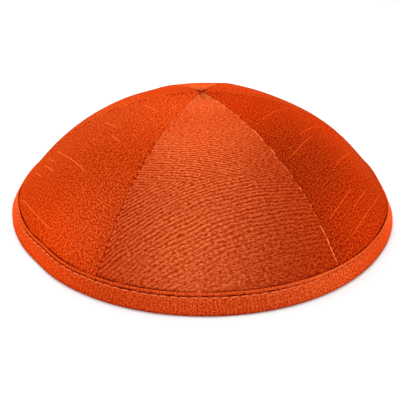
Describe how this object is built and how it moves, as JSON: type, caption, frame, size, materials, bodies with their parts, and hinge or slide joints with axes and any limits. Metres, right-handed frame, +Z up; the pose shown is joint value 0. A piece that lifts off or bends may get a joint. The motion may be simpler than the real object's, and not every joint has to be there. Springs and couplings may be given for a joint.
{
  "type": "kippah",
  "caption": "Domed skullcap sewn from wedge-shaped silk panels that meet at the top, its edge wrapped in a folded binding; it stands on its rim, open below.",
  "frame": {"origin": "middle of the rim, in the plane of the surface that the cap stands on", "axes": "+Z up through the crown, the front panel faces -Y, +X towards the cap's right side seen from the front"},
  "size_m": [0.1732, 0.1724, 0.0457],
  "materials": {
    "crown_silk": "slubbed orange silk with fine cross ribs and a soft sheen",
    "binding_silk": "the same orange silk cut as a narrow folded strip and topstitched"
  },
  "bodies": {
    "root": {"crown_panel_front": "crown_silk", "crown_panel_front_right": "crown_silk", "crown_panel_back_right": "crown_silk", "crown_panel_back": "crown_silk", "crown_panel_back_left": "crown_silk", "crown_panel_front_left": "crown_silk", "rim_binding": "binding_silk"}
  },
  "joints": []
}
